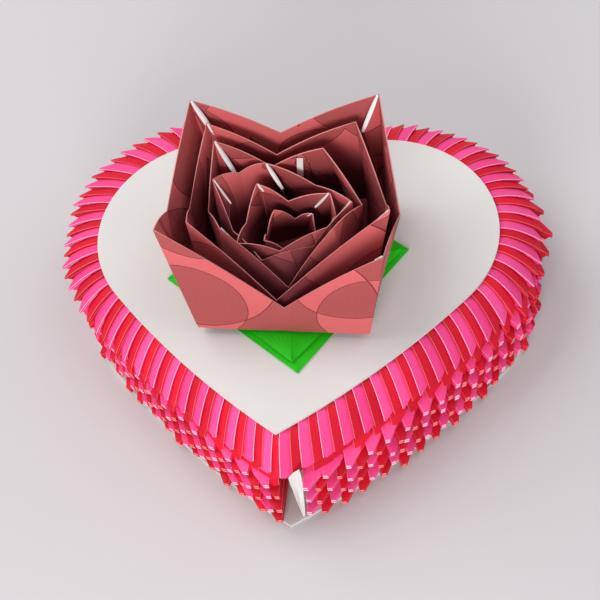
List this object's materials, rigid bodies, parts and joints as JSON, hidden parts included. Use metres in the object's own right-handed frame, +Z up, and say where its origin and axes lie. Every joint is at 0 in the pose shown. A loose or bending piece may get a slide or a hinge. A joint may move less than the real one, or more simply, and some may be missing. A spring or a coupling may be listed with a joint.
{
  "type": "origami box",
  "caption": "Heart-shaped paper box with a folded-unit wall in two colours and a lift-off card lid that carries a folded paper rose.",
  "frame": {"origin": "centre of the box's footprint, on the surface that it stands on", "axes": "+Z up, the heart's tip towards -Y, the cleft between its lobes towards +Y, +X to the right seen from the tip"},
  "size_m": [0.2024, 0.1827, 0.1104],
  "materials": {
    "white_card": "matt",
    "pink_paper": "matt",
    "red_paper": "matt",
    "rose_paper": "matt, printed",
    "green_paper": "matt"
  },
  "bodies": {
    "box": {"base_plate": "white_card", "front_corner_card": "white_card", "inner_wall_left": "white_card", "inner_wall_right": "white_card", "wall_units_left_pink_1": "pink_paper", "wall_units_left_pink_2": "pink_paper", "wall_units_left_pink_3": "pink_paper", "wall_units_left_red_1": "red_paper", "wall_units_left_red_2": "red_paper", "wall_units_left_red_3": "red_paper", "wall_units_left_red_4": "red_paper", "wall_units_right_pink_1": "pink_paper", "wall_units_right_pink_2": "pink_paper", "wall_units_right_pink_3": "pink_paper", "wall_units_right_red_1": "red_paper", "wall_units_right_red_2": "red_paper", "wall_units_right_red_3": "red_paper", "wall_units_right_red_4": "red_paper"},
    "lid": {"calyx_lower": "green_paper", "calyx_upper": "green_paper", "lid_collar": "white_card", "lid_plate": "white_card", "lid_units_left_pink": "pink_paper", "lid_units_left_red": "red_paper", "lid_units_right_pink": "pink_paper", "lid_units_right_red": "red_paper", "rose_layer_1": "rose_paper", "rose_layer_2": "rose_paper", "rose_layer_3": "rose_paper", "rose_layer_4": "rose_paper", "rose_layer_5": "rose_paper", "rose_layer_6": "rose_paper"}
  },
  "joints": [
    {"name": "lid_lift", "type": "slide", "parent": "box", "child": "lid", "axis": [0, 0, 1], "range_m": [0, 0.08]}
  ]
}
